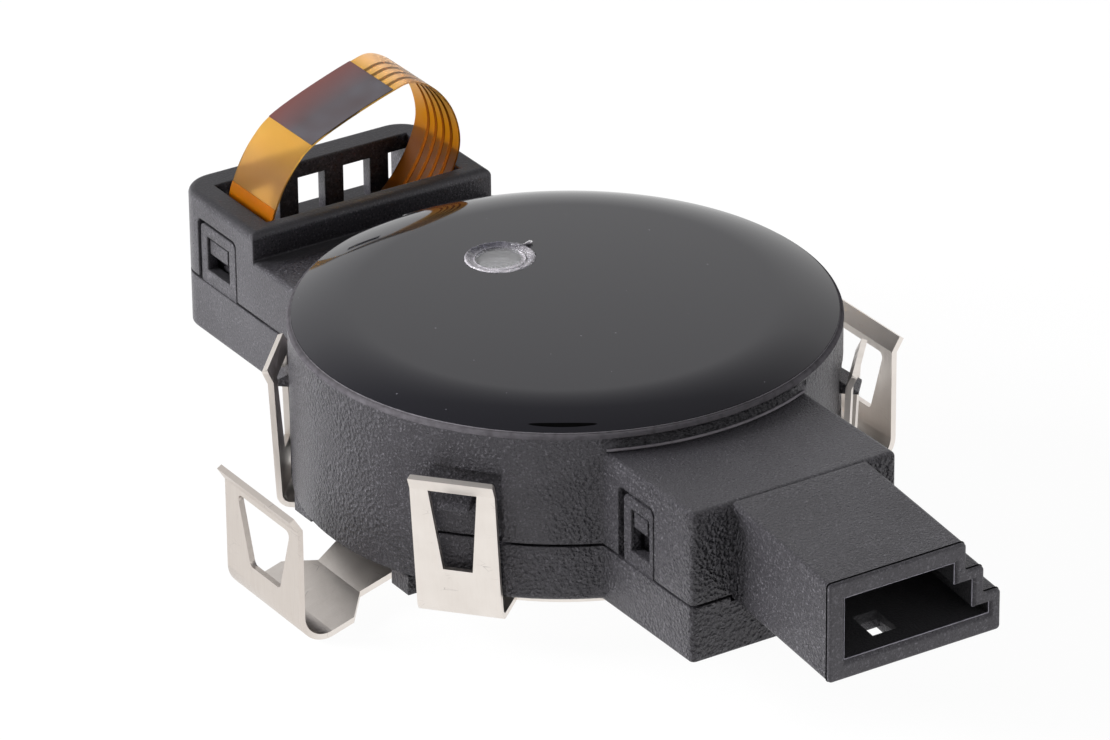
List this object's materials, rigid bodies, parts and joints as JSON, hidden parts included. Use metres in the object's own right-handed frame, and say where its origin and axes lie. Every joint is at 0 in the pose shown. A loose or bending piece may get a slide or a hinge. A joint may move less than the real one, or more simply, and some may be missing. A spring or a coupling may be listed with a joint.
{
  "type": "rain light humidity sensor",
  "caption": "Windscreen rain, light and humidity sensor: round domed optical head, connector shoulder, humidity chamber with looped foil, and a sheet-metal retaining spring.",
  "frame": {"origin": "on the axis of the round housing, in the plane of its underside", "axes": "+X towards the connector mouth, +Z out of the domed optical face towards the windscreen, +Y completes the right-handed set"},
  "size_m": [0.091, 0.0604, 0.0272],
  "materials": {
    "housing": "fine spark-eroded grain, charcoal",
    "lens_black": "infrared-passing black, polished",
    "pad": "dark silicone with a wet gloss",
    "clear": "clear silicone and acrylic",
    "spring_steel": "bright rolled stainless sheet",
    "board": "green solder mask",
    "emitter": "clear epoxy",
    "receiver": "dark filter epoxy",
    "chip": "moulded epoxy",
    "ceramic": "tan ceramic",
    "ferrite": "sintered grey",
    "can": "plated can",
    "contacts": "tin-plated brass",
    "carrier": "glass-filled black",
    "foil": "amber polyimide film",
    "stiffener": "dark backing film"
  },
  "bodies": {
    "root": {"upper_housing": "housing", "lower_housing": "housing", "lens_plate": "lens_black", "coupling_pad": "pad", "light_window": "clear", "light_pipe": "clear", "retaining_spring": "spring_steel", "circuit_board": "board", "infrared_emitters": "emitter", "infrared_receivers": "receiver", "ambient_light_sensor": "receiver", "controller_chip": "chip", "bus_transceiver": "chip", "capacitors": "ceramic", "filter_coil": "ferrite", "crystal": "can", "contact_pins": "contacts", "pin_carrier": "carrier", "flex_foil": "foil", "foil_socket": "carrier"},
    "left_arm": {"spring_arm_left": "spring_steel"},
    "right_arm": {"spring_arm_right": "spring_steel"},
    "humidity_head": {"foil_stiffener": "stiffener", "humidity_sensor": "chip"}
  },
  "joints": [
    {"name": "left_arm_flex", "type": "hinge", "parent": "root", "child": "left_arm", "pos_m": [0, -0.02705, -0.00515], "axis": [1, 0, 0], "range_deg": [0, 12], "stiffness_Nm_per_rad": 0.4},
    {"name": "right_arm_flex", "type": "hinge", "parent": "root", "child": "right_arm", "pos_m": [0, 0.02705, -0.00515], "axis": [-1, 0, 0], "range_deg": [0, 12], "stiffness_Nm_per_rad": 0.4},
    {"name": "foil_press", "type": "slide", "parent": "root", "child": "humidity_head", "axis": [0, 0, -1], "range_m": [0, 0.005], "stiffness_N_per_m": 60, "deforming": ["flex_foil"]}
  ]
}
